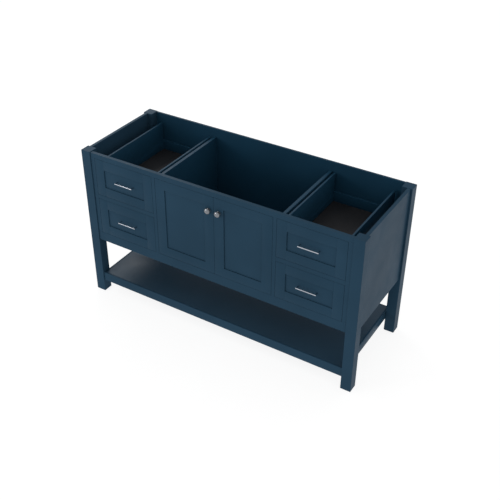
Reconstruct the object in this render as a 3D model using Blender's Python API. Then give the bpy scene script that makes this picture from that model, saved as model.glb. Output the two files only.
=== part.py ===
"""Bathroom vanity base cabinet: open topped carcass on four corner posts, a pair of inset doors
between two banks of inset drawers, and an open slab shelf near the floor.

Frame: metres, +X to the right, +Y to the back, +Z up. The origin is on the floor, at the centre of
the box that holds the whole object, knobs included.
"""
import math

import bmesh
import bpy
from mathutils import Vector

# Overall size
WIDTH = 1.524
DEPTH = 0.554                     # from the front faces of the posts to their backs
HEIGHT = 0.846
POST = 0.053                      # side of a square corner post

# Gaps
GAP = 0.0003                      # between pieces that touch
REVEAL = 0.0012                   # round each door and drawer front

# Boards
FACE_SET_BACK = 0.0055            # face frame behind the posts' front faces
SIDE_SET_BACK = 0.0095            # side panels behind the posts' outer faces
BACK_SET_BACK = 0.002             # back panel in front of the posts' backs
RAIL_DROP = 0.0035                # top of the front rail below the posts' tops
PANEL_DROP = 0.001                # tops of the side and back panels below the posts' tops
BOARD = 0.016                     # side panels, partitions and deck
BACK_BOARD = 0.010
FACE_THICK = 0.018
BODY_BOTTOM = 0.3355
DECK_LIFT = 0.010
PARTITION_TOP = 0.798

# Doors and drawer fronts
FRONT_THICK = 0.018
FRONT_BOTTOM = 0.3880
DRAWER_FRONT_HEIGHT = 0.201
MID_RAIL = 0.0231
DRAWER_FRONT_INNER = 0.3415       # distance of a drawer front's inner edge from the middle
DRAWER_FRONT_WIDTH = 0.343
DOOR_OUTER = 0.321                # distance of each door's hinged edge from the middle
MEETING_X = 0.010                 # where the two doors meet
DOOR_STILE = 0.053
DOOR_RAIL = 0.051
DRAWER_BORDER = 0.051
RECESS = 0.0045                   # centre panels behind the fronts of their frames
PANEL_THICK = 0.0055
REBATE = 0.008
PARTITION_INNER = 0.3255          # distance of a partition's inner face from the middle

# Drawer boxes
BOX_WIDTH = 0.317
BOX_HEIGHT = 0.172
BOX_LIFT = 0.0105                 # box bottom above the drawer front's bottom
BOX_BACK_HEIGHT = 0.070           # the back board is lower than the sides
BOX_BACK_GAP = 0.004
BOX_WALL = 0.009
BOX_FLOOR_LIFT = 0.012
BOX_FLOOR = 0.006
BOX_GROOVE = 0.0045

# Slides: a fixed channel on each side of a drawer
SLIDE_SPACE = 0.013               # between the drawer box and the partition
SLIDE_LENGTH = 0.450
SLIDE_HEIGHT = 0.045
SLIDE_DEPTH = 0.0060
SLIDE_WEB = 0.0015
BRACKET_REACH = 0.016
BRACKET_THICK = 0.002
BRACKET_MARGIN = 0.006

# Shelf
SHELF_TOP = 0.119
SHELF_THICK = 0.050
SHELF_SET_BACK = 0.006            # behind the front faces of the posts
SHELF_BACK_INSET = 0.010          # in front of the backs of the posts
SHELF_RAIL = 0.018
SHELF_BOARD = 0.018
SHELF_LEDGE = 0.009

# Hinges
CUP_RADIUS = 0.0175
CUP_DEPTH = 0.011
CUP_INSET = 0.0225                # cup centre from the door's hinged edge
FLANGE_THICK = 0.0015
FLANGE_HEIGHT = 0.052
FLANGE_WIDTH = 0.013
HINGE_FROM_END = 0.075
ARM_HEIGHT = 0.014
ARM_LIFT = 0.003                  # between the flange and the arm above it
ARM_THICK = 0.003
ARM_PLATE_START = 0.012           # the arm's plate on the partition, from the arm's front
ARM_PLATE_END = 0.060
ARM_HEEL = 0.020                  # where the slanted part of the arm meets its plate
ARM_KNEE = 0.005                  # straight part of the arm, either way from the cup's centre
ARM_TIP = 0.008

# Knobs and pulls
KNOB_PROJECTION = 0.022
KNOB_RADIUS = 0.0150
KNOB_DROP = 0.0745                # knob centre below the door's top
KNOB_FOOT_RADIUS = 0.0080
KNOB_FOOT_THICK = 0.0020
KNOB_WAIST_RADIUS = 0.0050
KNOB_WAIST_START = 0.0040         # distances from the door along the knob's axis
KNOB_WAIST_END = 0.0075
KNOB_HEAD_START = 0.0100
KNOB_RIM_START = 0.0130
KNOB_RIM_END = 0.0150
KNOB_HEAD_BACK = 0.80             # radius of the head's flat back over the head's own
PULL_LENGTH = 0.104
PULL_SPAN = 0.096                 # between the middles of the two feet
PULL_PROJECTION = 0.021           # from the panel it stands on
PULL_HEIGHT = 0.0055
PULL_THICK = 0.0055
PULL_RISE = 0.004                 # pull above the middle of its drawer front
PULL_INSET = 0.0065               # pull's middle nearer the doors than its front's middle
PULL_FOOT = 0.0055

ROUND_STEPS = 32
DOME_STEPS = 6

# Derived places
FRONT_Y = -(DEPTH + KNOB_PROJECTION - FACE_SET_BACK) / 2 + KNOB_PROJECTION - FACE_SET_BACK
BACK_Y = FRONT_Y + DEPTH
FACE_Y = FRONT_Y + FACE_SET_BACK
POST_INNER = WIDTH / 2 - POST
PANEL_TOP = HEIGHT - PANEL_DROP
BACK_FRONT_Y = BACK_Y - BACK_SET_BACK - BACK_BOARD
UPPER_FRONT_BOTTOM = FRONT_BOTTOM + DRAWER_FRONT_HEIGHT + 2 * REVEAL + MID_RAIL
FRONT_TOP = UPPER_FRONT_BOTTOM + DRAWER_FRONT_HEIGHT
DRAWER_FRONT_OUTER = DRAWER_FRONT_INNER + DRAWER_FRONT_WIDTH
DRAWER_X = DRAWER_FRONT_INNER + DRAWER_FRONT_WIDTH / 2
BOX_FRONT_Y = FACE_Y + FRONT_THICK + GAP
BOX_BACK_Y = BACK_FRONT_Y - BOX_BACK_GAP
DECK_TOP = BODY_BOTTOM + DECK_LIFT + BOARD
SIDES = (("left", -1), ("right", 1))


def clear_scene():
    for item in list(bpy.data.objects):
        bpy.data.objects.remove(item, do_unlink=True)


def make_material(name, color, roughness, metallic=0.0):
    material = bpy.data.materials.new(name)
    material.use_nodes = True
    shader = material.node_tree.nodes["Principled BSDF"]
    shader.inputs["Base Color"].default_value = (*color, 1.0)
    shader.inputs["Roughness"].default_value = roughness
    shader.inputs["Metallic"].default_value = metallic
    material.diffuse_color = (*color, 1.0)
    return material


def make_materials():
    return {
        "paint": make_material("navy_paint", (0.022, 0.045, 0.075), 0.40),
        "interior": make_material("navy_interior", (0.020, 0.042, 0.070), 0.50),
        "shelf": make_material("navy_shelf", (0.022, 0.045, 0.072), 0.45),
        "ply": make_material("drawer_floor", (0.16, 0.12, 0.09), 0.60),
        "nickel": make_material("brushed_nickel", (0.78, 0.78, 0.77), 0.25, 1.0),
        "zinc": make_material("zinc_plated_steel", (0.62, 0.63, 0.65), 0.35, 1.0),
    }


def add_empty(name, location):
    empty = bpy.data.objects.new(name, None)
    empty.location = location
    empty.empty_display_size = 0.05
    bpy.context.scene.collection.objects.link(empty)
    return empty


def add_object(name, bm, material, parent=None, smooth=False):
    """Turn a bmesh given in world coordinates into an object, placed under its parent."""
    origin = Vector(parent.location) if parent else Vector((0, 0, 0))
    bmesh.ops.translate(bm, verts=bm.verts, vec=-origin)
    bmesh.ops.recalc_face_normals(bm, faces=bm.faces)
    mesh = bpy.data.meshes.new(name)
    bm.to_mesh(mesh)
    bm.free()
    if smooth:
        mesh.shade_smooth()
        mesh.set_sharp_from_angle(angle=math.radians(35))
    obj = bpy.data.objects.new(name, mesh)
    if material:
        mesh.materials.append(material)
    bpy.context.scene.collection.objects.link(obj)
    obj.parent = parent
    return obj


def box(name, x, y, z, material, parent=None):
    """A board between the pairs of limits x, y and z."""
    bm = bmesh.new()
    bmesh.ops.create_cube(bm, size=1.0)
    for vert in bm.verts:
        limits = zip(vert.co, (x, y, z))
        vert.co = [pair[1] if part > 0 else pair[0] for part, pair in limits]
    return add_object(name, bm, material, parent)


def extrude_outline(name, outline, axis, low, high, material, parent=None):
    """A closed outline of points in the plane across the axis, extruded from low to high."""
    bm = bmesh.new()
    verts = []
    for u, v in outline:
        point = [u, v]
        point.insert(axis, low)
        verts.append(bm.verts.new(point))
    face = bm.faces.new(verts)
    extruded = bmesh.ops.extrude_face_region(bm, geom=[face])
    moved = [item for item in extruded["geom"] if isinstance(item, bmesh.types.BMVert)]
    offset = [0, 0, 0]
    offset[axis] = high - low
    bmesh.ops.translate(bm, verts=moved, vec=offset)
    return add_object(name, bm, material, parent)


def loops_solid(name, loops, axis, closed, material, parent=None):
    """A solid lofted through rectangular loops.

    Each loop is (u limits, v limits, place on the axis). A closed solid runs from the last loop
    back to the first, like a picture frame; an open one gets a cap at each end.
    """
    bm = bmesh.new()
    rings = []
    for (u0, u1), (v0, v1), place in loops:
        ring = []
        for u, v in ((u0, v0), (u1, v0), (u1, v1), (u0, v1)):
            point = [u, v]
            point.insert(axis, place)
            ring.append(bm.verts.new(point))
        rings.append(ring)
    pairs = list(zip(rings, rings[1:]))
    if closed:
        pairs.append((rings[-1], rings[0]))
    else:
        bm.faces.new(rings[0])
        bm.faces.new(rings[-1])
    for first, second in pairs:
        for i in range(4):
            j = (i + 1) % 4
            bm.faces.new((first[i], first[j], second[j], second[i]))
    return add_object(name, bm, material, parent)


def grown(limits, amount):
    return (limits[0] - amount, limits[1] + amount)


def mirrored(limits, sign):
    """Limits measured from the middle, on the side given by the sign."""
    return tuple(sorted((sign * limits[0], sign * limits[1])))


def turned(name, profile, centre, material, parent=None):
    """A solid turned about the Y axis; the profile gives (radius, distance along -Y)."""
    bm = bmesh.new()
    verts = [bm.verts.new((centre[0] + r, centre[1] - d, centre[2])) for r, d in profile]
    edges = [bm.edges.new(pair) for pair in zip(verts, verts[1:])]
    bmesh.ops.spin(bm, geom=verts + edges, cent=centre, axis=(0, 1, 0), angle=math.tau,
                   steps=ROUND_STEPS, use_merge=True, use_duplicate=False)
    bmesh.ops.remove_doubles(bm, verts=bm.verts, dist=0.00001)
    return add_object(name, bm, material, parent, smooth=True)


def cylinder_y(name, centre_xz, y, radius, material=None, parent=None):
    """A cylinder along Y between the two limits of y."""
    profile = ((0, 0), (radius, 0), (radius, y[1] - y[0]), (0, y[1] - y[0]))
    centre = (centre_xz[0], y[1], centre_xz[1])
    return turned(name, profile, centre, material, parent)


def cut(target, cutter):
    """Take the cutter's shape out of the target and hide the cutter."""
    cutter.hide_render = True
    cutter.display_type = "WIRE"
    modifier = target.modifiers.new("cut_" + cutter.name, "BOOLEAN")
    modifier.operation = "DIFFERENCE"
    modifier.solver = "EXACT"
    modifier.object = cutter


def join(target, tool):
    """Weld the tool's shape onto the target and hide the tool."""
    tool.hide_render = True
    tool.display_type = "WIRE"
    modifier = target.modifiers.new("join_" + tool.name, "BOOLEAN")
    modifier.operation = "UNION"
    modifier.solver = "EXACT"
    modifier.object = tool


def build_posts(material):
    for side, sign in SIDES:
        x = mirrored((POST_INNER, WIDTH / 2), sign)
        box("leg_front_" + side, x, (FRONT_Y, FRONT_Y + POST), (0, HEIGHT), material)
        box("leg_back_" + side, x, (BACK_Y - POST, BACK_Y), (0, HEIGHT), material)


def build_case(material, inside):
    """Side and back panels between the posts, partitions, and a deck notched round the posts."""
    between_posts = (FRONT_Y + POST + GAP, BACK_Y - POST - GAP)
    outer = WIDTH / 2 - SIDE_SET_BACK
    for side, sign in SIDES:
        box("side_panel_" + side, mirrored((outer - BOARD, outer), sign), between_posts,
            (BODY_BOTTOM, PANEL_TOP), material)
        box("partition_" + side,
            mirrored((PARTITION_INNER, PARTITION_INNER + BOARD), sign),
            (FACE_Y + FACE_THICK + GAP, BACK_FRONT_Y - GAP), (DECK_TOP + GAP, PARTITION_TOP), inside)
    half = POST_INNER - GAP
    box("back_panel", (-half, half), (BACK_FRONT_Y, BACK_FRONT_Y + BACK_BOARD),
        (BODY_BOTTOM, PANEL_TOP), material)
    wide = outer - BOARD - GAP
    front, back = FACE_Y + FACE_THICK + GAP, BACK_FRONT_Y - GAP
    step_front, step_back = FRONT_Y + POST + GAP, BACK_Y - POST - GAP
    right_side = [(half, front), (half, step_front), (wide, step_front), (wide, step_back),
                  (half, step_back), (half, back)]
    left_side = [(-x, y) for x, y in reversed(right_side)]
    extrude_outline("bottom_panel", right_side + left_side, 2, DECK_TOP - BOARD, DECK_TOP, inside)


def build_face_frame(material):
    """Rails and stiles round the doors and drawers, flush with one another."""
    y = (FACE_Y, FACE_Y + FACE_THICK)
    half = POST_INNER - GAP
    rail_bottom = FRONT_TOP + REVEAL
    stile_z = (FRONT_BOTTOM - REVEAL + GAP, rail_bottom - GAP)
    box("face_rail_top", (-half, half), y, (rail_bottom, HEIGHT - RAIL_DROP), material)
    box("face_rail_bottom", (-half, half), y, (BODY_BOTTOM, FRONT_BOTTOM - REVEAL), material)
    inner_stile = (DOOR_OUTER + REVEAL, DRAWER_FRONT_INNER - REVEAL)
    outer_stile = (DRAWER_FRONT_OUTER + REVEAL, half)
    mid_bottom = FRONT_BOTTOM + DRAWER_FRONT_HEIGHT + REVEAL
    for side, sign in SIDES:
        box("face_stile_inner_" + side, mirrored(inner_stile, sign), y, stile_z, material)
        box("face_stile_outer_" + side, mirrored(outer_stile, sign), y, stile_z, material)
        box("face_rail_middle_" + side,
            mirrored((inner_stile[1] + GAP, outer_stile[0] - GAP), sign), y,
            (mid_bottom, mid_bottom + MID_RAIL), material)


def build_shelf(material):
    """A slab shelf between the posts: a board let into ledges in the rails round it."""
    half = POST_INNER - GAP
    front, back = FRONT_Y + SHELF_SET_BACK, BACK_Y - SHELF_BACK_INSET
    bottom = SHELF_TOP - SHELF_THICK
    inner, front_inner = half - SHELF_RAIL, front + SHELF_RAIL
    outline = [(-half, front_inner + GAP), (-half, back), (half, back),
               (half, front_inner + GAP), (inner, front_inner + GAP), (inner, back - SHELF_RAIL),
               (-inner, back - SHELF_RAIL), (-inner, front_inner + GAP)]
    rails = extrude_outline("shelf_side_and_back_rails", outline, 2, bottom, SHELF_TOP, material)
    front_rail = box("shelf_front_rail", (-half, half), (front, front_inner),
                     (bottom, SHELF_TOP), material)
    board_x = (-inner - SHELF_LEDGE, inner + SHELF_LEDGE)
    board_y = (front_inner - SHELF_LEDGE, back - SHELF_RAIL + SHELF_LEDGE)
    ledge = SHELF_TOP - SHELF_BOARD
    cutter = box("shelf_board_seat", grown(board_x, GAP), grown(board_y, GAP),
                 (ledge - GAP, SHELF_TOP + SHELF_BOARD), None)
    cut(rails, cutter)
    cut(front_rail, cutter)
    box("shelf_board", board_x, board_y, (ledge, SHELF_TOP), material)


def knob_profile():
    """Radius and distance from the door: a round foot, a waist and a domed head."""
    profile = [(0, 0), (KNOB_FOOT_RADIUS, 0), (KNOB_FOOT_RADIUS, KNOB_FOOT_THICK),
               (KNOB_WAIST_RADIUS, KNOB_WAIST_START), (KNOB_WAIST_RADIUS, KNOB_WAIST_END),
               (KNOB_RADIUS * KNOB_HEAD_BACK, KNOB_HEAD_START), (KNOB_RADIUS, KNOB_RIM_START)]
    dome = KNOB_PROJECTION - GAP - KNOB_RIM_END
    for i in range(DOME_STEPS):
        angle = math.pi / 2 * i / DOME_STEPS
        profile.append((KNOB_RADIUS * math.cos(angle), KNOB_RIM_END + dome * math.sin(angle)))
    profile.append((0, KNOB_RIM_END + dome))
    return profile


def hinge_heights():
    return (("lower", FRONT_BOTTOM + HINGE_FROM_END), ("upper", FRONT_TOP - HINGE_FROM_END))


def build_hinge(side, sign, level, height, frame, door, materials):
    """A cup and flange sunk in the door, and an arm on the partition that reaches over it."""
    back = FACE_Y + FRONT_THICK
    cup_x = sign * (DOOR_OUTER - CUP_INSET)
    tag = f"{level}_{side}"
    pocket = cylinder_y("pocket_" + tag, (cup_x, height), (back - CUP_DEPTH - GAP, back + CUP_DEPTH),
                        CUP_RADIUS + GAP, None, door)
    cut(frame, pocket)
    cup = cylinder_y("hinge_cup_" + tag, (cup_x, height),
                     (back - CUP_DEPTH, back + GAP + FLANGE_THICK), CUP_RADIUS,
                     materials["zinc"], door)
    wings = box("hinge_wings_" + tag, (cup_x - FLANGE_WIDTH / 2, cup_x + FLANGE_WIDTH / 2),
                (back + GAP, back + GAP + FLANGE_THICK),
                (height - FLANGE_HEIGHT / 2, height + FLANGE_HEIGHT / 2), None, door)
    join(cup, wings)
    wall, centre = PARTITION_INNER - GAP, DOOR_OUTER - CUP_INSET
    arm_y = back + GAP + FLANGE_THICK + ARM_LIFT
    outline = [(wall, arm_y + ARM_PLATE_START), (wall, arm_y + ARM_PLATE_END),
               (wall - ARM_THICK, arm_y + ARM_PLATE_END), (wall - ARM_THICK, arm_y + ARM_HEEL),
               (centre + ARM_KNEE, arm_y + ARM_THICK), (centre - ARM_TIP, arm_y + ARM_THICK),
               (centre - ARM_TIP, arm_y), (centre + ARM_KNEE, arm_y)]
    extrude_outline("hinge_arm_" + tag, [(sign * x, y) for x, y in outline], 2,
                    height - ARM_HEIGHT / 2, height + ARM_HEIGHT / 2, materials["zinc"])


def build_door(side, sign, materials):
    """A frame with a panel let in from behind, a knob, and two concealed hinges."""
    door = add_empty("door_axis_" + side, (sign * DOOR_OUTER, FACE_Y, 0))
    meeting = MEETING_X + sign * REVEAL / 2
    x = tuple(sorted((meeting, sign * DOOR_OUTER)))
    z = (FRONT_BOTTOM, FRONT_TOP)
    opening_x, opening_z = grown(x, -DOOR_STILE), grown(z, -DOOR_RAIL)
    rebate_x, rebate_z = grown(opening_x, REBATE), grown(opening_z, REBATE)
    back = FACE_Y + FRONT_THICK
    seat = FACE_Y + RECESS
    frame = loops_solid("door_frame_" + side, [
        (x, z, FACE_Y), (opening_x, opening_z, FACE_Y), (opening_x, opening_z, seat),
        (rebate_x, rebate_z, seat), (rebate_x, rebate_z, back), (x, z, back)],
        1, True, materials["paint"], door)
    box("door_panel_" + side, grown(rebate_x, -GAP), (seat + GAP, seat + GAP + PANEL_THICK),
        grown(rebate_z, -GAP), materials["paint"], door)
    knob_x = meeting + sign * DOOR_STILE / 2
    turned("knob_" + side, knob_profile(), (knob_x, FACE_Y - GAP, FRONT_TOP - KNOB_DROP),
           materials["nickel"], door)
    for level, height in hinge_heights():
        build_hinge(side, sign, level, height, frame, door, materials)


def pull_outline(x, y):
    """Plan of a straight bar on two square feet, seen from above."""
    half, foot = PULL_LENGTH / 2, PULL_SPAN / 2
    inner, outer = foot - PULL_FOOT / 2, foot + PULL_FOOT / 2
    bar_back, bar_front = y - PULL_PROJECTION + PULL_THICK, y - PULL_PROJECTION
    right = [(inner, bar_back), (inner, y), (outer, y), (outer, bar_back), (half, bar_back),
             (half, bar_front)]
    left = [(-u, v) for u, v in reversed(right)]
    return [(x + u, v) for u, v in right + left]


def build_drawer(level, side, sign, bottom, materials):
    """A front with a sunk centre, a box with a low back and a grooved-in floor, and a bar pull."""
    tag = f"{level}_{side}"
    drawer = add_empty("drawer_axis_" + tag, (sign * DRAWER_X, FACE_Y, bottom))
    x = mirrored((DRAWER_FRONT_INNER, DRAWER_FRONT_OUTER), sign)
    z = (bottom, bottom + DRAWER_FRONT_HEIGHT)
    sunk_x, sunk_z = grown(x, -DRAWER_BORDER), grown(z, -DRAWER_BORDER)
    loops_solid("drawer_front_" + tag, [
        (x, z, FACE_Y + FRONT_THICK), (x, z, FACE_Y), (sunk_x, sunk_z, FACE_Y),
        (sunk_x, sunk_z, FACE_Y + RECESS)], 1, False, materials["paint"], drawer)

    box_x = (sign * DRAWER_X - BOX_WIDTH / 2, sign * DRAWER_X + BOX_WIDTH / 2)
    box_y = (BOX_FRONT_Y, BOX_BACK_Y)
    low = bottom + BOX_LIFT
    high = low + BOX_HEIGHT
    groove = (low + BOX_FLOOR_LIFT, low + BOX_FLOOR_LIFT + BOX_FLOOR)
    inner = (grown(box_x, -BOX_WALL), grown(box_y, -BOX_WALL))
    floor_x, floor_y = grown(inner[0], BOX_GROOVE), grown(inner[1], BOX_GROOVE)
    boards = loops_solid("drawer_box_" + tag, [
        (box_x, box_y, low), (box_x, box_y, high), (*inner, high), (*inner, groove[1]),
        (floor_x, floor_y, groove[1]), (floor_x, floor_y, groove[0]), (*inner, groove[0]),
        (*inner, low)], 2, True, materials["interior"], drawer)
    above_back = box("above_back_" + tag, grown(box_x, BOX_WALL),
                     (inner[1][1] - GAP, BOX_BACK_Y + BOX_WALL),
                     (low + BOX_BACK_HEIGHT, high + BOX_WALL), None, drawer)
    cut(boards, above_back)
    box("drawer_floor_" + tag, grown(floor_x, -GAP), grown(floor_y, -GAP), grown(groove, -GAP),
        materials["ply"], drawer)

    middle = bottom + DRAWER_FRONT_HEIGHT / 2 + PULL_RISE
    outline = pull_outline(sign * (DRAWER_X - PULL_INSET), FACE_Y + RECESS - GAP)
    extrude_outline("pull_" + tag, outline, 2, middle - PULL_HEIGHT / 2, middle + PULL_HEIGHT / 2,
                    materials["nickel"], drawer)
    build_slides(tag, sign, (low + high) / 2, materials["zinc"])


def build_slides(tag, sign, middle, material):
    """The fixed channels beside a drawer, open towards its box.

    The inner one is screwed to the partition. The outer one runs on to the back panel, and is
    held by a tab there and another behind the face frame.
    """
    z = (middle - SLIDE_HEIGHT / 2, middle + SLIDE_HEIGHT / 2)
    front = FACE_Y + FACE_THICK + 2 * GAP
    inner_wall = DRAWER_X - BOX_WIDTH / 2 - SLIDE_SPACE + GAP
    build_channel("slide_inner_" + tag, sign, inner_wall, 1, (front, front + SLIDE_LENGTH), z,
                  material)
    outer_wall = DRAWER_X + BOX_WIDTH / 2 + SLIDE_SPACE - GAP
    back = BACK_FRONT_Y - GAP
    channel = build_channel("slide_outer_" + tag, sign, outer_wall, -1, (front, back), z, material)
    tab_x = mirrored((outer_wall - SLIDE_WEB / 2, outer_wall + BRACKET_REACH), sign)
    tab_z = grown(z, -BRACKET_MARGIN)
    ends = (("front", (front + GAP, front + GAP + BRACKET_THICK)),
            ("back", (back - GAP - BRACKET_THICK, back - GAP)))
    for end, tab_y in ends:
        join(channel, box(f"slide_tab_{end}_{tag}", tab_x, tab_y, tab_z, None))


def build_channel(name, sign, wall, opens, y, z, material):
    """A channel along Y whose web stands on the wall and whose lips point to the side it opens."""
    lip, web = wall + opens * SLIDE_DEPTH, wall + opens * SLIDE_WEB
    section = [(wall, z[0]), (lip, z[0]), (lip, z[0] + SLIDE_WEB), (web, z[0] + SLIDE_WEB),
               (web, z[1] - SLIDE_WEB), (lip, z[1] - SLIDE_WEB), (lip, z[1]), (wall, z[1])]
    return extrude_outline(name, [(sign * u, v) for u, v in section], 1, *y, material)


def build():
    clear_scene()
    materials = make_materials()
    build_posts(materials["paint"])
    build_case(materials["paint"], materials["interior"])
    build_face_frame(materials["paint"])
    build_shelf(materials["shelf"])
    for side, sign in SIDES:
        build_door(side, sign, materials)
        build_drawer("lower", side, sign, FRONT_BOTTOM, materials)
        build_drawer("upper", side, sign, UPPER_FRONT_BOTTOM, materials)


build()
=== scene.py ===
"""Looks of the bathroom vanity cabinet.

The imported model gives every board, joint and place. This script bevels and paints the boards, saws
the framed doors and drawer boxes into the boards they are made of, and makes the hardware: knobs,
pulls, concealed hinges, drawer runners and screws. Everything is in metres, +Z up, front towards -Y.
"""
import math

import bmesh
import bpy
from mathutils import Matrix, Vector


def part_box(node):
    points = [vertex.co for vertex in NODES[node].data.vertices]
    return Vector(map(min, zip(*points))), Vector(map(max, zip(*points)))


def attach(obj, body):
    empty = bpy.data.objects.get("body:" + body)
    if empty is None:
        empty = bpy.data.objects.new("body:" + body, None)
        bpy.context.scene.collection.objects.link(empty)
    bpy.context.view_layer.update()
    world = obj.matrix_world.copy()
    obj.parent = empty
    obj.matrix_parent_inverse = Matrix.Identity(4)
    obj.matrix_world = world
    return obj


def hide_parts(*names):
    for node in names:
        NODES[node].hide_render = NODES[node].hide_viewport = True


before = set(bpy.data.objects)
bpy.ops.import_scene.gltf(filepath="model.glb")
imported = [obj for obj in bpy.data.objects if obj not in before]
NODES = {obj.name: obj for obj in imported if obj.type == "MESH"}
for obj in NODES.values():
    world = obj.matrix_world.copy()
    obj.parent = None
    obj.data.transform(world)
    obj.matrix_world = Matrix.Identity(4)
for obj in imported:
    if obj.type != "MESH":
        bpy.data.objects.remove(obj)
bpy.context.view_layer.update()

SIDES = (("left", -1), ("right", 1))
LEVELS = ("lower", "upper")
TAGS = [f"{level}_{side}" for side, _ in SIDES for level in LEVELS]
CARCASS = "carcass"

# Camera
CAMERA_PLACE = (1.8061, -2.90445, 2.7378)
CAMERA_TARGET = (-0.0168, 0.00825, 0.3790)
CAMERA_LENS = 59.38
CAMERA_SHIFT = (0.0198, -0.0065)

# Edges and joints of the boards
POST_ROUND = 0.0015
BOARD_ROUND = 0.0009
FRAME_ROUND = 0.0004              # boards that meet flush, whose joints are painted over
HAIRLINE = 0.0001                 # between boards that are glued edge to edge
WELD = 0.00001
FLAT_ANGLE = 0.001                # radians between two faces that count as one
SHARP_ANGLE = 35                  # degrees between two faces of a board that count as an edge
SAW_SET = 0.0001                  # a saw cut's distance from the wall it runs beside
PANEL_TONGUE = 0.0077             # how far a door's centre panel runs under its frame
BOX_WALL = 0.009
SHELF_RAIL = 0.018

# Knobs: distances are from the door along the knob's axis
KNOB_STEM = ((0, 0), (0.0090, 0), (0.0095, 0.0004), (0.0095, 0.0014), (0.0090, 0.0019),
             (0.0060, 0.0022), (0.0044, 0.0030), (0.0040, 0.0045), (0.0042, 0.0070))
KNOB_WAIST = 0.0056               # radius where the head begins
KNOB_THROAT = 0.0084              # where the head begins
KNOB_RIM = 0.0138                 # where the head is widest
KNOB_STEPS = 8                    # points on a quarter of the head's outline

# Pulls
PULL_SPAN = 0.096                 # between the feet
PULL_FOOT = 0.0027                # radius
PULL_ROUND = 0.0014
PULL_SCREW = 0.0042               # radius of the heads that hold knobs and pulls

# Screws: the shares and the recess are in units of the head's radius and height
SCREW_RADIUS = 0.0034
SCREW_HEAD = 0.0016               # height
SCREW_RIM = 0.35                  # height of the straight rim, as a share
SCREW_CROWN = 0.45                # radius of the flat crown, as a share
SCREW_DOME_STEPS = 5
SCREW_RECESS = ((0.42, 1.0), (0.18, 0.45), (0, 0.40))
FRONT_SCREWS = (0.80, 0.62)       # shares of a box front's half width and half height

# Drawer runners and channels
GAP = 0.0003                      # between pieces that touch
RUNNER_WEB = 0.0013
RUNNER_HEIGHT = 0.037
RUNNER_REACH = 0.0064             # from a runner's wall to the lips of the channel beside it
LIP_CLEARANCE = 0.0012            # between the runner's lips and the channel's web
CHANNEL_WEB = 0.0015
SHEET_ROUND = 0.0003
SLIDE_SCREWS = (0.10, 0.48, 0.90)  # shares of a slide's length

# Hinge cups
CUP_FLANGE = 0.0190               # radius of the rim
CUP_WALL = 0.0172                 # radius of the outside
CUP_SHEET = 0.0012
CUP_ROLL = 0.0014                 # height of the rolled rim
CUP_EASE = 0.0003                 # rounding under the rim
CUP_LIP = 0.0004                  # rounding over the rim
CUP_SCREW_RISE = 0.0225
WING_CORNER = 0.0028

# Hinge arms: distances are from the arm's back end
ARM_ROUND = 0.0007
ARM_STRAP = 0.003
ARM_SCREWS = (0.008, 0.024)
ARM_SCREW_RADIUS = 0.0028
ARM_SCREW_HEAD = 0.0012
PLATE_ENDS = (0.034, 0.018)
PLATE_HALF = 0.022                # half the plate's height
PLATE_THICK = 0.0022
PLATE_CORNER = 0.004
PLATE_SCREW_INSET = 0.006

# Stage: each light has a name, a place, a target, a size in metres and a power in watts
FLOOR_RADIUS = 40.0
FLOOR_DROP = 0.0005
FLOOR_GLOW = 0.86
ROOM_GLOW = 0.86
LIGHTS = (("back_left", (-2.6, 2.2, 2.7), (-0.7, 0.0, 0.8), 1.6, 29),
          ("front_left", (-3.1, -4.2, 1.7), (0, 0, 0.75), 1.7, 52))


# ---------------------------------------------------------------- meshes

def add_piece(name, bm, material, body, replaces=(), smooth_below=40):
    """Turn a bmesh in world coordinates into a piece that rides on a body."""
    bmesh.ops.recalc_face_normals(bm, faces=bm.faces)
    mesh = bpy.data.meshes.new(name)
    bm.to_mesh(mesh)
    bm.free()
    mesh.shade_smooth()
    mesh.set_sharp_from_angle(angle=math.radians(smooth_below))
    mesh.materials.append(material)
    piece = bpy.data.objects.new(name, mesh)
    bpy.context.scene.collection.objects.link(piece)
    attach(piece, body)
    if replaces:
        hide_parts(*replaces)


def add_box(bm, low, high):
    """A closed box between two corners, added to the bmesh."""
    low, high = Vector(low), Vector(high)
    made = bmesh.ops.create_cube(bm, size=1.0)["verts"]
    bmesh.ops.scale(bm, verts=made, vec=high - low)
    bmesh.ops.translate(bm, verts=made, vec=(low + high) / 2)


def round_edges(bm, width, segments=3, sharper_than=30):
    """Round every edge that is sharper than an angle in degrees."""
    edges = [e for e in bm.edges if len(e.link_faces) == 2
             and e.calc_face_angle() > math.radians(sharper_than)]
    bmesh.ops.bevel(bm, geom=edges, offset=width, segments=segments, profile=0.5,
                    affect="EDGES", clamp_overlap=True)


def add_turned(bm, profile, centre, axis, steps=48):
    """A closed solid turned about an axis; the profile gives (radius, distance along the axis)."""
    others = set(bm.verts)
    made = [bm.verts.new((radius, 0, along)) for radius, along in profile]
    edges = [bm.edges.new(pair) for pair in zip(made, made[1:])]
    bmesh.ops.spin(bm, geom=made + edges, cent=(0, 0, 0), axis=(0, 0, 1), angle=math.tau,
                   steps=steps, use_merge=True, use_duplicate=False)
    turned = [v for v in bm.verts if v not in others]
    bmesh.ops.remove_doubles(bm, verts=turned, dist=WELD / 10)
    turned = [v for v in bm.verts if v not in others]
    turn = Vector((0, 0, 1)).rotation_difference(Vector(axis)).to_matrix().to_4x4()
    bmesh.ops.transform(bm, matrix=Matrix.Translation(centre) @ turn, verts=turned)


def cad_copy(node):
    """The CAD node's mesh as a welded bmesh."""
    bm = bmesh.new()
    bm.from_mesh(NODES[node].data)
    bmesh.ops.remove_doubles(bm, verts=bm.verts, dist=WELD)
    flat = [e for e in bm.edges if len(e.link_faces) == 2 and e.calc_face_angle() < FLAT_ANGLE]
    bmesh.ops.dissolve_edges(bm, edges=flat, use_verts=True)
    return bm


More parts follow.
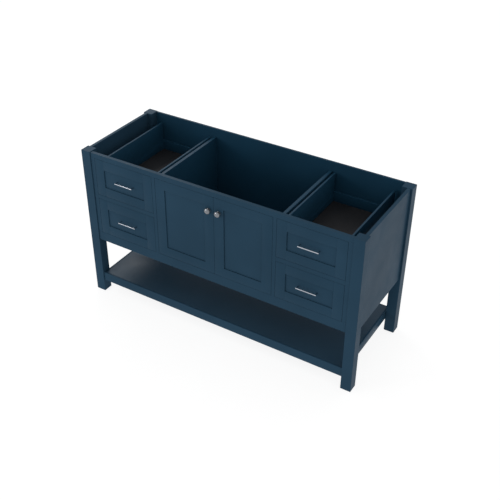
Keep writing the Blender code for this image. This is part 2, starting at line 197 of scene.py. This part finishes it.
def sawn(source, cuts):
    """A copy of a bmesh, cut by planes and closed again. A cut is (axis, place, side kept)."""
    bm = source.copy()
    for axis, place, keep in cuts:
        point, normal = Vector(), Vector()
        point[axis] = place
        normal[axis] = -keep
        geometry = bm.verts[:] + bm.edges[:] + bm.faces[:]
        bmesh.ops.bisect_plane(bm, geom=geometry, plane_co=point, plane_no=normal,
                               clear_outer=True, dist=WELD)
        rim = [e for e in bm.edges if e.is_boundary]
        if rim:
            bmesh.ops.holes_fill(bm, edges=rim)
    return bm


def saw_ring(node, names, inner, along, rounding, material, body):
    """Saw a ring of four boards apart: two run the whole length, two stand between them.

    inner gives the limits in X of the space inside the ring, along is the axis of the long ones.
    """
    source = cad_copy(node)
    round_edges(source, rounding)
    low, high = inner[0] + SAW_SET, inner[1] - SAW_SET
    lowest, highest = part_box(node)
    middle = (lowest[along] + highest[along]) / 2
    between = [(0, low + HAIRLINE, 1), (0, high - HAIRLINE, -1)]
    cuts = ([(0, low, -1)], [(0, high, 1)],
            between + [(along, middle, -1)], between + [(along, middle, 1)])
    for name, cut in zip(names, cuts):
        add_piece(name, sawn(source, cut), material, body, (node,), SHARP_ANGLE)
    source.free()


# ---------------------------------------------------------------- materials

class Shading:
    """A material with a Principled shader and short ways to add nodes to it."""

    def __init__(self, name):
        self.material = bpy.data.materials.new(name)
        self.material.use_nodes = True
        self.tree = self.material.node_tree
        self.shader = self.tree.nodes["Principled BSDF"]
        self.coords = self.add("ShaderNodeTexCoord").outputs["Object"]

    def add(self, kind, values=None, **settings):
        node = self.tree.nodes.new(kind)
        for key, value in settings.items():
            setattr(node, key, value)
        for key, value in (values or {}).items():
            if isinstance(value, bpy.types.NodeSocket):
                self.tree.links.new(value, node.inputs[key])
            else:
                node.inputs[key].default_value = value
        return node

    def stretched(self, scale):
        return self.add("ShaderNodeMapping", {"Vector": self.coords, "Scale": scale}).outputs[0]

    def noise(self, scale, detail=2.0, coords=None, distortion=0.0):
        values = {"Vector": coords or self.coords, "Scale": scale, "Detail": detail,
                  "Distortion": distortion}
        return self.add("ShaderNodeTexNoise", values).outputs["Fac"]

    def ranged(self, value, source, target):
        values = {"Value": value, "From Min": source[0], "From Max": source[1],
                  "To Min": target[0], "To Max": target[1]}
        return self.add("ShaderNodeMapRange", values).outputs["Result"]

    def math(self, operation, first, second):
        return self.add("ShaderNodeMath", {0: first, 1: second}, operation=operation).outputs[0]

    def mix(self, factor, first, second):
        node = self.add("ShaderNodeMix", data_type="RGBA")
        for socket, value in ((node.inputs[0], factor), (node.inputs[6], first),
                              (node.inputs[7], second)):
            if isinstance(value, bpy.types.NodeSocket):
                self.tree.links.new(value, socket)
            elif isinstance(value, tuple):
                socket.default_value = (*value, 1.0)
            else:
                socket.default_value = value
        return node.outputs[2]

    def edges(self, radius):
        """1 on a worn edge and 0 on a flat: how far the rounded normal leaves the true one."""
        rounded = self.add("ShaderNodeBevel", {"Radius": radius}, samples=4).outputs["Normal"]
        true = self.add("ShaderNodeNewGeometry").outputs["Normal"]
        dot = self.add("ShaderNodeVectorMath", {0: rounded, 1: true}, operation="DOT_PRODUCT")
        return self.ranged(dot.outputs["Value"], (0.995, 0.80), (0.0, 1.0))

    def bump(self, height, strength, distance):
        values = {"Height": height, "Strength": strength, "Distance": distance}
        normal = self.add("ShaderNodeBump", values).outputs["Normal"]
        self.tree.links.new(normal, self.shader.inputs["Normal"])

    def feed(self, **inputs):
        for key, value in inputs.items():
            socket = self.shader.inputs[key.replace("_", " ")]
            if isinstance(value, bpy.types.NodeSocket):
                self.tree.links.new(value, socket)
            elif isinstance(value, tuple):
                socket.default_value = (*value, 1.0)
            else:
                socket.default_value = value


def make_paint(name, tone, gloss, specular, peel=0.12, wear=0.5):
    """Sprayed satin paint: slow drift in tone, fine orange peel, edges rubbed a little lighter."""
    paint = Shading(name)
    dark = tuple(0.90 * part for part in tone)
    light = tuple(1.10 * part for part in tone)
    drift = paint.noise(2.6, detail=3.0)
    body = paint.mix(paint.ranged(drift, (0.3, 0.7), (0.0, 1.0)), dark, light)
    speck = paint.noise(420.0, detail=1.0)
    body = paint.mix(paint.ranged(speck, (0.55, 0.80), (0.0, 0.25)), body, light)
    rubbed = tuple(1.6 * part + 0.012 for part in tone)
    patchy = paint.ranged(paint.noise(60.0, detail=3.0), (0.42, 0.62), (0.15, 1.0))
    mask = paint.math("MULTIPLY", paint.edges(0.0011), patchy)
    color = paint.mix(paint.math("MULTIPLY", mask, wear), body, rubbed)
    smear = paint.noise(9.0, detail=4.0, distortion=0.4)
    roughness = paint.ranged(smear, (0.3, 0.7), (gloss - 0.05, gloss + 0.05))
    paint.feed(Base_Color=color, Roughness=roughness, Specular_IOR_Level=specular)
    skin = paint.math("ADD", paint.noise(700.0, detail=2.0),
                      paint.math("MULTIPLY", paint.noise(110.0, detail=1.0), 1.5))
    paint.bump(skin, peel, 0.0004)
    return paint.material


def make_plywood(name, dark, light):
    """Lacquered plywood with long grain along Y."""
    wood = Shading(name)
    along = wood.stretched((14.0, 1.1, 14.0))
    figure = wood.noise(5.0, detail=6.0, coords=along, distortion=0.7)
    pores = wood.noise(60.0, detail=2.0, coords=wood.stretched((9.0, 0.5, 9.0)))
    body = wood.mix(wood.ranged(figure, (0.3, 0.7), (0.0, 1.0)), dark, light)
    pore = wood.ranged(pores, (0.56, 0.72), (0.0, 0.6))
    color = wood.mix(pore, body, tuple(0.45 * part for part in dark))
    wood.feed(Base_Color=color, Roughness=wood.ranged(figure, (0.3, 0.7), (0.48, 0.60)),
              Specular_IOR_Level=0.25)
    wood.bump(wood.math("SUBTRACT", figure, pore), 0.15, 0.0003)
    return wood.material


def make_metal(name, tone, gloss, brushed, mottled):
    """Plated or brushed metal: fine scratches along X and cloudy patches in the plating."""
    metal = Shading(name)
    scratches = metal.noise(90.0, detail=4.0, coords=metal.stretched((1.0, 26.0, 26.0)))
    clouds = metal.noise(55.0, detail=3.0)
    dim = tuple((1.0 - mottled) * part for part in tone)
    color = metal.mix(metal.ranged(clouds, (0.35, 0.65), (0.0, 1.0)), dim, tone)
    rough = metal.math("ADD", metal.ranged(scratches, (0.3, 0.7), (-0.05, 0.05)),
                       metal.ranged(clouds, (0.3, 0.7), (gloss - 0.03, gloss + 0.03)))
    metal.feed(Base_Color=color, Roughness=rough, Metallic=1.0)
    metal.bump(scratches, brushed, 0.0001)
    return metal.material


def make_floor_material():
    """Matt pale grey that glows a little, so that the floor reads as white."""
    floor = Shading("pale_floor")
    clouds = floor.noise(1.5, detail=2.0)
    floor.feed(Base_Color=floor.mix(clouds, (0.18, 0.18, 0.18), (0.20, 0.20, 0.20)),
               Roughness=0.9, Specular_IOR_Level=0.0, Emission_Color=(1.0, 1.0, 1.0),
               Emission_Strength=FLOOR_GLOW)
    return floor.material


NAVY = (0.0168, 0.0430, 0.0715)
# a darker, bluer copy of the navy: painted shade for the inside of the case and the drawer boxes
NAVY_SHADED = (0.0085, 0.0380, 0.0700)
PAINT = make_paint("navy_paint", NAVY, gloss=0.34, specular=0.020)
PANEL_PAINT = make_paint("navy_panel_paint", NAVY, gloss=0.36, specular=0.022, peel=0.08)
# the same navy paint as outside, with painted shade in its darker, bluer tone
SHADED_INSIDE_PAINT = make_paint("navy_inside_painted_shade", NAVY_SHADED, gloss=0.48, specular=0.09, wear=0.3)
SHELF_PAINT = make_paint("navy_shelf_paint", NAVY, gloss=0.42, specular=0.14)
PLYWOOD = make_plywood("drawer_floor_wood", (0.0090, 0.0105, 0.0130), (0.0155, 0.0155, 0.0175))
NICKEL = make_metal("satin_nickel", (0.43, 0.46, 0.51), gloss=0.20, brushed=0.10, mottled=0.05)
# the pulls' nickel made darker for the knobs: painted shade standing in for the dark reflections on
# their domes
SHADED_KNOB_NICKEL = make_metal("knob_nickel_painted_shade", (0.20, 0.21, 0.225), gloss=0.17, brushed=0.04,
                         mottled=0.04)
ZINC = make_metal("zinc_plate", (0.56, 0.58, 0.61), gloss=0.34, brushed=0.15, mottled=0.14)
ZINC_DARK = make_metal("screw_zinc", (0.34, 0.34, 0.35), gloss=0.38, brushed=0.10, mottled=0.20)


# ---------------------------------------------------------------- boards

def coat_node(node, material):
    """Give a CAD board its material."""
    board = NODES[node]
    board.data.materials.clear()
    board.data.materials.append(material)
    return board


def finish_node(node, material, rounding):
    """Give a CAD board its paint and its rounded edges."""
    board = coat_node(node, material)
    weld = board.modifiers.new("weld", "WELD")
    weld.merge_threshold = WELD
    bevel = board.modifiers.new("round_edges", "BEVEL")
    bevel.width = rounding
    bevel.segments = 3
    bevel.limit_method = "ANGLE"
    bevel.angle_limit = math.radians(SHARP_ANGLE)
    bevel.use_clamp_overlap = True


def finish_carcass():
    """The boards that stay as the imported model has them."""
    for side, _ in SIDES:
        for end in ("front", "back"):
            finish_node(f"leg_{end}_{side}", PAINT, POST_ROUND)
        finish_node("side_panel_" + side, PANEL_PAINT, BOARD_ROUND)
        finish_node("partition_" + side, SHADED_INSIDE_PAINT, BOARD_ROUND)
        finish_node("face_rail_middle_" + side, PAINT, FRAME_ROUND)
        finish_node("door_panel_" + side, PAINT, FRAME_ROUND)
        for place in ("inner", "outer"):
            finish_node(f"face_stile_{place}_{side}", PAINT, FRAME_ROUND)
    for node in ("face_rail_top", "face_rail_bottom"):
        finish_node(node, PAINT, FRAME_ROUND)
    finish_node("back_panel", SHADED_INSIDE_PAINT, BOARD_ROUND)
    finish_node("bottom_panel", SHADED_INSIDE_PAINT, BOARD_ROUND)
    finish_node("shelf_front_rail", PAINT, BOARD_ROUND)
    finish_node("shelf_board", SHELF_PAINT, FRAME_ROUND)


def saw_shelf_rails():
    """The rails at the sides and back of the shelf, as three boards."""
    node = "shelf_side_and_back_rails"
    source = cad_copy(node)
    round_edges(source, FRAME_ROUND)
    low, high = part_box(node)
    left, right = low.x + SHELF_RAIL + SAW_SET, high.x - SHELF_RAIL - SAW_SET
    for name, cuts in (("shelf_side_rail_left", [(0, left, -1)]),
                       ("shelf_side_rail_right", [(0, right, 1)]),
                       ("shelf_back_rail", [(0, left + HAIRLINE, 1), (0, right - HAIRLINE, -1)])):
        add_piece(name, sawn(source, cuts), PAINT, CARCASS, (node,), SHARP_ANGLE)
    source.free()


def make_door_frame(side):
    """Two stiles the whole height of the door, with two rails between them."""
    panel_low, panel_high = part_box("door_panel_" + side)
    inner = (panel_low.x + PANEL_TONGUE, panel_high.x - PANEL_TONGUE)
    names = [f"door_{side}_{board}" for board in
             ("stile_left", "stile_right", "rail_bottom", "rail_top")]
    saw_ring("door_frame_" + side, names, inner, 2, BOARD_ROUND, PAINT, "door_" + side)


def make_drawer_front(tag):
    """Two stiles, two rails and a sunk centre panel, on the CAD front's own limits."""
    node = "drawer_front_" + tag
    low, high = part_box(node)
    spots = [v.co for v in NODES[node].data.vertices]
    sunk_y = min(p.y for p in spots if low.x + WELD < p.x < high.x - WELD and p.y > low.y + WELD)
    sunk_x = sorted({round(p.x, 5) for p in spots})[1:3]
    sunk_z = sorted({round(p.z, 5) for p in spots})[1:3]
    left, right = sunk_x[0] + HAIRLINE, sunk_x[1] - HAIRLINE
    boards = {
        "stile_left": ((low.x, low.y, low.z), (sunk_x[0], high.y, high.z)),
        "stile_right": ((sunk_x[1], low.y, low.z), (high.x, high.y, high.z)),
        "rail_bottom": ((left, low.y, low.z), (right, high.y, sunk_z[0])),
        "rail_top": ((left, low.y, sunk_z[1]), (right, high.y, high.z)),
        "panel": ((left, sunk_y, sunk_z[0] + HAIRLINE), (right, high.y, sunk_z[1] - HAIRLINE)),
    }
    for name, (corner, other) in boards.items():
        bm = bmesh.new()
        add_box(bm, corner, other)
        round_edges(bm, FRAME_ROUND)
        add_piece(f"drawer_{tag}_{name}", bm, PAINT, "drawer_" + tag, (node,),
                  SHARP_ANGLE)


def make_drawer_box(tag):
    """Two sides the whole depth of the box, its front and back between them, and its floor."""
    node = "drawer_box_" + tag
    low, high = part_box(node)
    names = [f"drawer_{tag}_box_{board}" for board in
             ("side_left", "side_right", "front", "back")]
    saw_ring(node, names, (low.x + BOX_WALL, high.x - BOX_WALL), 1, BOARD_ROUND, SHADED_INSIDE_PAINT,
             "drawer_" + tag)
    coat_node("drawer_floor_" + tag, PLYWOOD)


# ---------------------------------------------------------------- hardware

def make_knob(side):
    """A turned mushroom knob: a stepped foot, a slim waist and a domed head with a soft rim."""
    node = "knob_" + side
    low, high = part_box(node)
    centre = Vector(((low.x + high.x) / 2, high.y, (low.z + high.z) / 2))
    radius, length = (high.x - low.x) / 2, high.y - low.y
    profile = list(KNOB_STEM)
    for i in range(KNOB_STEPS + 1):
        angle = math.pi / 2 * i / KNOB_STEPS
        profile.append((KNOB_WAIST + (radius - KNOB_WAIST) * math.sin(angle),
                        KNOB_THROAT + (KNOB_RIM - KNOB_THROAT) * (1 - math.cos(angle))))
    for i in range(1, KNOB_STEPS):
        angle = math.pi / 2 * i / KNOB_STEPS
        profile.append((radius * math.cos(angle),
                        KNOB_RIM + (length - KNOB_RIM) * math.sin(angle)))
    profile.append((0, length))
    bm = bmesh.new()
    add_turned(bm, profile, centre, (0, -1, 0), steps=64)
    add_piece("door_knob_" + side, bm, SHADED_KNOB_NICKEL, "door_" + side, (node,), 50)


def make_pull(tag):
    """A slim bar with soft corners on two plain round feet."""
    node = "pull_" + tag
    low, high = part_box(node)
    middle = (low + high) / 2
    thick = high.z - low.z
    bm = bmesh.new()
    add_box(bm, (low.x, low.y, low.z), (high.x, low.y + thick, high.z))
    round_edges(bm, PULL_ROUND, segments=4)
    reach = high.y - low.y - thick + PULL_ROUND
    profile = [(0, 0), (PULL_FOOT - PULL_ROUND, 0), (PULL_FOOT, PULL_ROUND / 2), (PULL_FOOT, reach),
               (0, reach)]
    for sign in (-1, 1):
        add_turned(bm, profile, (middle.x + sign * PULL_SPAN / 2, high.y, middle.z), (0, -1, 0),
                   steps=32)
    add_piece("drawer_pull_" + tag, bm, NICKEL, "drawer_" + tag, (node,))


def add_screw(bm, place, axis, radius=SCREW_RADIUS, height=SCREW_HEAD):
    """A pan head with a round recess, standing on the place and pointing along the axis."""
    profile = [(0, 0), (radius, 0), (radius, SCREW_RIM * height)]
    for i in range(1, SCREW_DOME_STEPS):
        angle = math.pi / 2 * i / SCREW_DOME_STEPS
        profile.append((radius * (SCREW_CROWN + (1 - SCREW_CROWN) * math.cos(angle)),
                        height * (SCREW_RIM + (1 - SCREW_RIM) * math.sin(angle))))
    profile += [(across * radius, up * height) for across, up in SCREW_RECESS]
    add_turned(bm, profile, place, axis, steps=20)


def add_screws(name, spots, axis, body, radius=SCREW_RADIUS, material=ZINC):
    """A group of screw heads, all pointing the same way."""
    bm = bmesh.new()
    for spot in spots:
        add_screw(bm, spot, axis, radius)
    add_piece(name, bm, material, body)


def fix_knob(side):
    """The screw that holds a knob, inside its door."""
    low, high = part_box("knob_" + side)
    centre = (low + high) / 2
    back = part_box("door_frame_" + side)[1].y
    add_screws("knob_screw_" + side, [(centre.x, back, centre.z)], (0, 1, 0), "door_" + side,
               PULL_SCREW)


def fix_drawer_front(tag):
    """Inside the drawer box: two screws that hold the pull and four that hold the front."""
    low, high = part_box("drawer_box_" + tag)
    pull_low, pull_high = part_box("pull_" + tag)
    pull = (pull_low + pull_high) / 2
    wall = low.y + BOX_WALL
    body = "drawer_" + tag
    spots = [(pull.x + sign * PULL_SPAN / 2, wall, pull.z) for sign in (-1, 1)]
    add_screws("pull_screws_" + tag, spots, (0, 1, 0), body, PULL_SCREW)
    middle, half = (low + high) / 2, (high - low) / 2
    share_x, share_z = FRONT_SCREWS
    spots = [(middle.x + across * share_x * half.x, wall, middle.z + up * share_z * half.z)
             for across in (-1, 1) for up in (-1, 1)]
    add_screws("front_screws_" + tag, spots, (0, 1, 0), body)


def add_runner(bm, wall, lip, web, rise, ends_y):
    """A channel of folded sheet between two places in Y, with its web against the wall."""
    top, thick = RUNNER_HEIGHT / 2, RUNNER_WEB
    section = [(wall, -top), (lip, -top), (lip, thick - top), (web, thick - top),
               (web, top - thick), (lip, top - thick), (lip, top), (wall, top)]
    ends = [[bm.verts.new((x, y, rise + z)) for x, z in section] for y in ends_y]
    for i in range(len(section)):
        after = (i + 1) % len(section)
        bm.faces.new((ends[0][i], ends[0][after], ends[1][after], ends[1][i]))
    bm.faces.new(ends[0])
    bm.faces.new(reversed(ends[1]))
    bmesh.ops.recalc_face_normals(bm, faces=bm.faces)
    round_edges(bm, SHEET_ROUND, segments=2)


def make_slides(tag):
    """Plate the fixed channels and make the runners that move in them with the drawer."""
    body = "drawer_" + tag
    box_low, box_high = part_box("drawer_box_" + tag)
    inner_low, inner_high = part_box("slide_inner_" + tag)
    for place in ("inner", "outer"):
        node = f"slide_{place}_{tag}"
        finish_node(node, ZINC, SHEET_ROUND)
        low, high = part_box(node)
        right_of_box = (low.x + high.x) > (box_low.x + box_high.x)
        wall = box_high.x + GAP if right_of_box else box_low.x - GAP
        away = 1 if right_of_box else -1
        if place == "inner":
            channel = high.x if right_of_box else low.x
        else:
            channel = wall + away * (inner_high.x - inner_low.x + RUNNER_REACH)
        lip = channel - away * (CHANNEL_WEB + LIP_CLEARANCE)
        web = wall + away * RUNNER_WEB
        rise = (low.z + high.z) / 2
        bm = bmesh.new()
        add_runner(bm, wall, lip, web, rise, (low.y, inner_high.y))
        add_piece(f"slide_runner_{place}_{tag}", bm, ZINC, body)
        along = [low.y + share * (inner_high.y - low.y) for share in SLIDE_SCREWS]
        add_screws(f"runner_screws_{place}_{tag}", [(web, y, rise) for y in along],
                   (away, 0, 0), body, material=ZINC_DARK)
        if place == "inner":
            seat = channel - away * CHANNEL_WEB
            add_screws(f"channel_screws_{place}_{tag}", [(seat, y, rise) for y in along],
                       (-away, 0, 0), CARCASS, material=ZINC_DARK)


def round_corners(bm, others, axis, width):
    """Round the four corners of a new plate: the edges along an axis that aren't the others'."""
    edges = [e for e in bm.edges if e.verts[0] not in others
             and abs(e.verts[0].co[axis] - e.verts[1].co[axis]) > WELD]
    bmesh.ops.bevel(bm, geom=edges, offset=width, segments=5, profile=0.5, affect="EDGES",
                    clamp_overlap=True)


def make_hinge_cup(level, side):
    """A pressed cup with a rolled rim and two wings, each held by a screw."""
    node = f"hinge_cup_{level}_{side}"
    low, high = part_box(node)
    x, z = (low.x + high.x) / 2, (low.z + high.z) / 2
    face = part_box("door_frame_" + side)[1].y + GAP
    depth = face - low.y
    inside = CUP_WALL - CUP_SHEET
    profile = [(0, -depth), (inside, -depth), (CUP_WALL, CUP_SHEET - depth), (CUP_WALL, 0),
               (CUP_FLANGE - CUP_EASE, 0), (CUP_FLANGE, CUP_EASE), (CUP_FLANGE, CUP_ROLL - CUP_LIP),
               (CUP_FLANGE - CUP_LIP, CUP_ROLL), (CUP_WALL - 2 * CUP_LIP, CUP_ROLL),
               (inside, CUP_ROLL - CUP_LIP), (inside, CUP_SHEET + 2 * CUP_LIP - depth),
               (inside - 2 * CUP_LIP, CUP_SHEET - depth), (0, CUP_SHEET - depth)]
    bm = bmesh.new()
    add_turned(bm, profile, (x, face, z), (0, 1, 0), steps=48)
    half_height = (high.z - low.z) / 2
    half_width = half_height / 4
    wing_y = (face, face + CUP_SHEET)
    for sign in (-1, 1):
        wing_z = sorted((z + sign * (CUP_FLANGE - CUP_LIP), z + sign * half_height))
        others = set(bm.verts)
        add_box(bm, (x - half_width, wing_y[0], wing_z[0]), (x + half_width, wing_y[1], wing_z[1]))
        round_corners(bm, others, 1, WING_CORNER)
        add_screw(bm, (x, wing_y[1], z + sign * CUP_SCREW_RISE), (0, 1, 0))
    add_piece("door_" + node, bm, ZINC, "door_" + side, (node,))


def make_hinge_arm(level, side, sign):
    """The arm over the cup, on a mounting plate with two screws, and its two adjusting screws."""
    node = f"hinge_arm_{level}_{side}"
    low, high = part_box(node)
    middle = (low.z + high.z) / 2
    bm = cad_copy(node)
    round_edges(bm, ARM_ROUND)
    wall = high.x if sign > 0 else low.x
    plate_x = sorted((wall, wall - sign * PLATE_THICK))
    plate_y = [high.y - end for end in PLATE_ENDS]
    plate_z = (middle - PLATE_HALF, middle + PLATE_HALF)
    others = set(bm.verts)
    add_box(bm, *zip(plate_x, plate_y, plate_z))
    round_corners(bm, others, 0, PLATE_CORNER)
    inward = (-sign, 0, 0)
    for up in (-1, 1):
        rise = middle + up * (PLATE_HALF - PLATE_SCREW_INSET)
        add_screw(bm, (wall - sign * PLATE_THICK, sum(plate_y) / 2, rise), inward)
    for back in ARM_SCREWS:
        add_screw(bm, (wall - sign * ARM_STRAP, high.y - back, middle), inward,
                  ARM_SCREW_RADIUS, ARM_SCREW_HEAD)
    add_piece("case_" + node, bm, ZINC, CARCASS, (node,))


# ---------------------------------------------------------------- camera and stage

def add_camera():
    data = bpy.data.cameras.new("camera")
    data.lens = CAMERA_LENS
    data.shift_x, data.shift_y = CAMERA_SHIFT
    data.clip_end = 100
    camera = bpy.data.objects.new("camera", data)
    camera.location = CAMERA_PLACE
    aim = Vector(CAMERA_TARGET) - Vector(CAMERA_PLACE)
    camera.rotation_euler = aim.to_track_quat("-Z", "Y").to_euler()
    bpy.context.scene.collection.objects.link(camera)
    bpy.context.scene.camera = camera


def add_light(name, place, target, size, power):
    data = bpy.data.lights.new(name, "AREA")
    data.shape = "DISK"
    data.size = size
    data.energy = power
    light = bpy.data.objects.new(name, data)
    light.location = place
    light.rotation_euler = (Vector(target) - Vector(place)).to_track_quat("-Z", "Y").to_euler()
    bpy.context.scene.collection.objects.link(light)


def add_stage():
    """A wide pale floor under a white room, and soft lights."""
    bm = bmesh.new()
    bmesh.ops.create_circle(bm, cap_ends=True, segments=96, radius=FLOOR_RADIUS)
    bmesh.ops.translate(bm, verts=bm.verts, vec=(0, 0, -FLOOR_DROP))
    mesh = bpy.data.meshes.new("floor")
    bm.to_mesh(mesh)
    bm.free()
    mesh.materials.append(make_floor_material())
    floor = bpy.data.objects.new("floor", mesh)
    bpy.context.scene.collection.objects.link(floor)
    world = bpy.data.worlds.new("white_room")
    world.use_nodes = True
    room = world.node_tree.nodes["Background"]
    room.inputs["Color"].default_value = (1, 1, 1, 1)
    room.inputs["Strength"].default_value = ROOM_GLOW
    bpy.context.scene.world = world
    for light in LIGHTS:
        add_light(*light)


add_camera()
add_stage()
bpy.context.scene.view_settings.view_transform = "Standard"
finish_carcass()
saw_shelf_rails()
for side, sign in SIDES:
    make_door_frame(side)
    make_knob(side)
    fix_knob(side)
    for level in LEVELS:
        make_hinge_cup(level, side)
        make_hinge_arm(level, side, sign)
for tag in TAGS:
    make_drawer_front(tag)
    make_drawer_box(tag)
    make_pull(tag)
    fix_drawer_front(tag)
    make_slides(tag)
